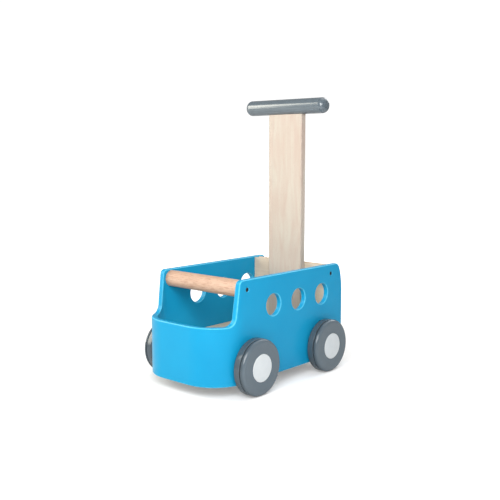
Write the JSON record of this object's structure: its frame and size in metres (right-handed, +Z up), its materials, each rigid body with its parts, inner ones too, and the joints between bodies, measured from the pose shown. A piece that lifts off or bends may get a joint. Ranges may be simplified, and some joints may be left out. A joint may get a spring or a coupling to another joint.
{
  "type": "push along truck",
  "caption": "Toddler's push along truck: bent plywood body with round windows, open cargo bed, wooden wheels on steel axles, and a flat upright post with a round push bar.",
  "frame": {"origin": "on the floor, under the middle of the truck's bounding box", "axes": "+Z up, the truck's front faces -Y, its left side is +X"},
  "size_m": [0.2186, 0.309, 0.4482],
  "materials": {
    "blue_paint": "satin blue paint on plywood",
    "grey_paint": "satin grey paint on turned wood",
    "pale_wood": "clear matt lacquer on pale wood",
    "beech": "clear satin lacquer on beech",
    "cap_plastic": "smooth moulded, light grey",
    "bush_nylon": "moulded nylon",
    "ring_rubber": "moulded grey rubber",
    "steel": "zinc plated",
    "dark_steel": "dark oxide",
    "brass": "as turned"
  },
  "bodies": {
    "truck": {"body_shell": "blue_paint", "floor_board": "pale_wood", "back_panel": "pale_wood", "handle_post": "pale_wood", "axle_beam_front": "pale_wood", "axle_beam_rear": "pale_wood", "push_bar": "grey_paint", "front_dowel": "beech", "front_left_washer": "steel", "front_left_push_nut": "steel", "front_right_washer": "steel", "front_right_push_nut": "steel", "rear_left_washer": "steel", "rear_left_push_nut": "steel", "rear_right_washer": "steel", "rear_right_push_nut": "steel", "front_axle": "steel", "rear_axle": "steel", "dowel_screw_left": "dark_steel", "panel_screw_lower_left": "dark_steel", "post_bolt_lower_left": "steel", "post_insert_lower_left": "brass", "panel_screw_upper_left": "dark_steel", "post_bolt_upper_left": "steel", "post_insert_upper_left": "brass", "beam_screw_front_left": "steel", "beam_screw_rear_left": "steel", "floor_screw_left": "steel", "bar_pin_left": "beech", "dowel_screw_right": "dark_steel", "panel_screw_lower_right": "dark_steel", "post_bolt_lower_right": "steel", "post_insert_lower_right": "brass", "panel_screw_upper_right": "dark_steel", "post_bolt_upper_right": "steel", "post_insert_upper_right": "brass", "beam_screw_front_right": "steel", "beam_screw_rear_right": "steel", "floor_screw_right": "steel", "bar_pin_right": "beech"},
    "wheel_front_left": {"front_left_wheel": "grey_paint", "front_left_tread_ring": "ring_rubber", "front_left_hub_cap": "cap_plastic", "front_left_hub_bush": "bush_nylon"},
    "wheel_front_right": {"front_right_wheel": "grey_paint", "front_right_tread_ring": "ring_rubber", "front_right_hub_cap": "cap_plastic", "front_right_hub_bush": "bush_nylon"},
    "wheel_rear_left": {"rear_left_wheel": "grey_paint", "rear_left_tread_ring": "ring_rubber", "rear_left_hub_cap": "cap_plastic", "rear_left_hub_bush": "bush_nylon"},
    "wheel_rear_right": {"rear_right_wheel": "grey_paint", "rear_right_tread_ring": "ring_rubber", "rear_right_hub_cap": "cap_plastic", "rear_right_hub_bush": "bush_nylon"}
  },
  "joints": [
    {"name": "front_left_wheel_spin", "type": "hinge", "parent": "truck", "child": "wheel_front_left", "pos_m": [0, -0.0793, 0.0432], "axis": [1, 0, 0], "continuous": true},
    {"name": "front_right_wheel_spin", "type": "hinge", "parent": "truck", "child": "wheel_front_right", "pos_m": [0, -0.0793, 0.0432], "axis": [1, 0, 0], "continuous": true},
    {"name": "rear_left_wheel_spin", "type": "hinge", "parent": "truck", "child": "wheel_rear_left", "pos_m": [0, 0.0973, 0.0432], "axis": [1, 0, 0], "continuous": true},
    {"name": "rear_right_wheel_spin", "type": "hinge", "parent": "truck", "child": "wheel_rear_right", "pos_m": [0, 0.0973, 0.0432], "axis": [1, 0, 0], "continuous": true}
  ]
}
